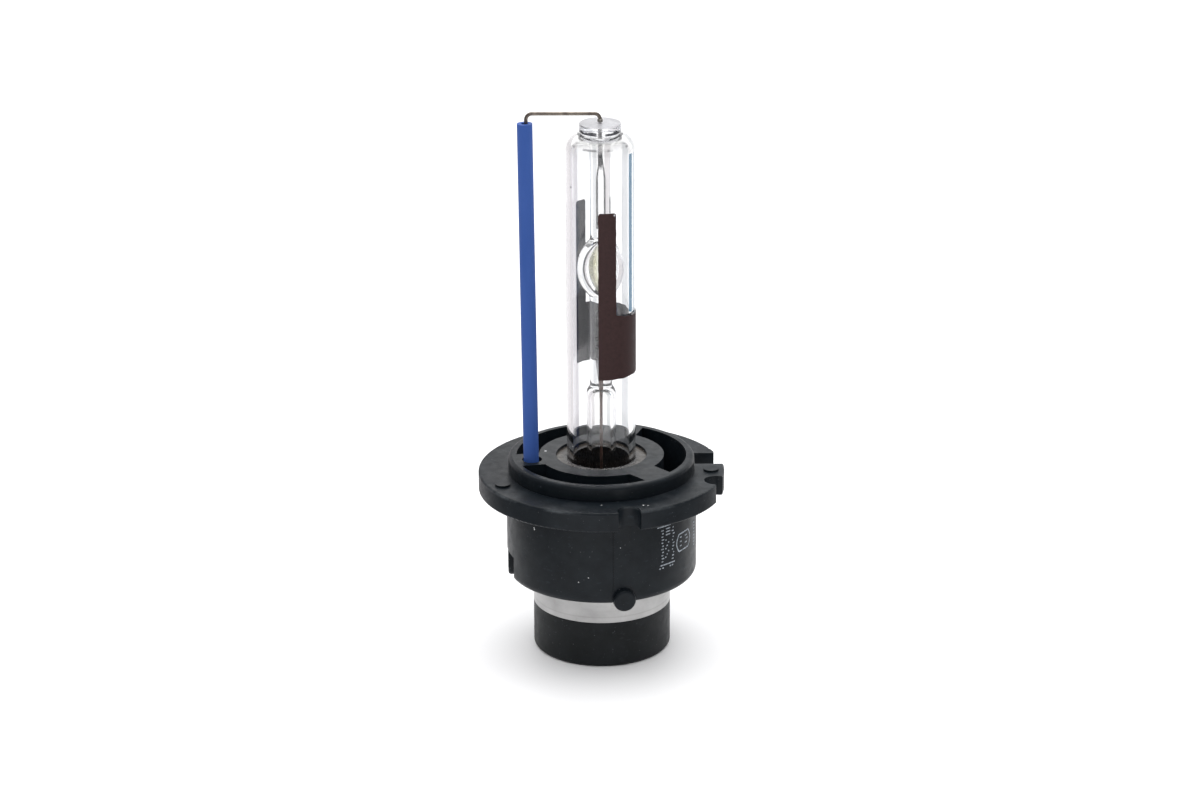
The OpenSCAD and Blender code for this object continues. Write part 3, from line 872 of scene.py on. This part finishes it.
def build_world():
    """White room that is bright overhead and behind, and dim on the camera's side."""
    world = bpy.data.worlds.new("studio")
    world.use_nodes = True
    tree = world.node_tree
    back = tree.nodes["Background"]
    way = tree.nodes.new("ShaderNodeTexCoord")
    split = tree.nodes.new("ShaderNodeSeparateXYZ")
    tree.links.new(way.outputs["Generated"], split.inputs["Vector"])
    lift = tree.nodes.new("ShaderNodeMath")
    lift.operation = "MULTIPLY_ADD"
    lift.inputs[1].default_value = 1.2
    tree.links.new(split.outputs["Z"], lift.inputs[0])
    tree.links.new(split.outputs["Y"], lift.inputs[2])
    fade = tree.nodes.new("ShaderNodeMapRange")
    fade.interpolation_type = "SMOOTHSTEP"
    fade.inputs["From Min"].default_value = -0.8
    fade.inputs["From Max"].default_value = 1.3
    fade.inputs["To Min"].default_value = 0.06
    fade.inputs["To Max"].default_value = 1.5
    tree.links.new(lift.outputs["Value"], fade.inputs["Value"])
    back.inputs["Color"].default_value = (1, 1, 1, 1)
    tree.links.new(fade.outputs["Result"], back.inputs["Strength"])
    scene.world = world


def build_card(name, ends, low, high, colour):
    """Upright studio card between two (x, y) points, seen only through glass or in gloss."""
    bm = bmesh.new()
    (ax, ay), (bx, by) = ends
    corners = [(ax, ay, low), (bx, by, low), (bx, by, high), (ax, ay, high)]
    bm.faces.new([bm.verts.new([v * MM for v in corner]) for corner in corners])
    card = finish_mesh(bm, name, smooth=False)
    card.visible_camera = False
    card.visible_diffuse = False
    card.visible_shadow = False
    mat = bpy.data.materials.new(name)
    mat.use_nodes = True
    shader = mat.node_tree.nodes["Principled BSDF"]
    shader.inputs["Base Color"].default_value = (0, 0, 0, 1)
    shader.inputs["Specular IOR Level"].default_value = 0
    shader.inputs["Emission Color"].default_value = (*colour, 1)
    shader.inputs["Emission Strength"].default_value = 1
    card.data.materials.append(mat)
    return card


def compass(distance, start, end):
    """End points of a card at a distance from the lamp, between two bearings from +Y towards +X."""
    return [turn(distance, 90 - bearing) for bearing in (start, end)]


def build_light(name, place, target, size, power):
    """Rectangular area light at a place, turned towards a target."""
    data = bpy.data.lights.new(name, "AREA")
    data.shape = "RECTANGLE"
    data.size, data.size_y = size
    data.energy = power
    light = new_object(name, data)
    light.location = place
    light.rotation_euler = (Vector(target) - Vector(place)).to_track_quat("-Z", "Y").to_euler()
    return light


def build_camera():
    """Long lens from the front, looking 20 degrees down, with the frame's centre on the lamp axis."""
    look_down = 20.152
    lean = 0.2325
    place_mm = Vector((-0.148, -460.52, 203.26))
    data = bpy.data.cameras.new("camera")
    data.sensor_width = 36
    data.lens = 112.81
    data.clip_start = 0.01
    camera = new_object("camera", data)
    pitch = Matrix.Rotation(math.radians(90 - look_down), 4, "X")
    roll = Matrix.Rotation(math.radians(-lean), 4, "Z")
    camera.matrix_world = Matrix.Translation(place_mm * MM) @ pitch @ roll
    scene.camera = camera


build_floor()
build_world()
build_card("left_flag", compass(60, -60, -14), 0, 80, (0.88, 0.85, 0.87))
build_card("right_flag", compass(60, 12, 30), 0, 80, (0.9, 0.92, 0.94))
build_card("blue_card", ((10.9, 9.2), (14.8, 5.2)), 42.5, 65, (0.17, 0.3, 0.42))
gobos = [
    build_card("left_gobo", compass(60, -140, -62), 0, 160, (0.2, 0.2, 0.215)),
    build_card("right_gobo", compass(60, 62, 140), 0, 160, (0.3, 0.3, 0.31)),
]
for gobo in gobos:
    gobo.visible_transmission = False
build_light("top_softbox", (0, 0.1, 0.6), (0, 0, 0.03), (0.5, 0.5), 1.6)
fill = build_light("front_fill", (0, -0.5, 0.45), (0, 0, 0), (0.7, 0.4), 0.8)
fill.visible_glossy = False
fill.visible_transmission = False
build_camera()
scene.view_settings.view_transform = "Standard"
scene.cycles.max_bounces = 24
scene.cycles.transmission_bounces = 24
scene.cycles.use_denoising = True
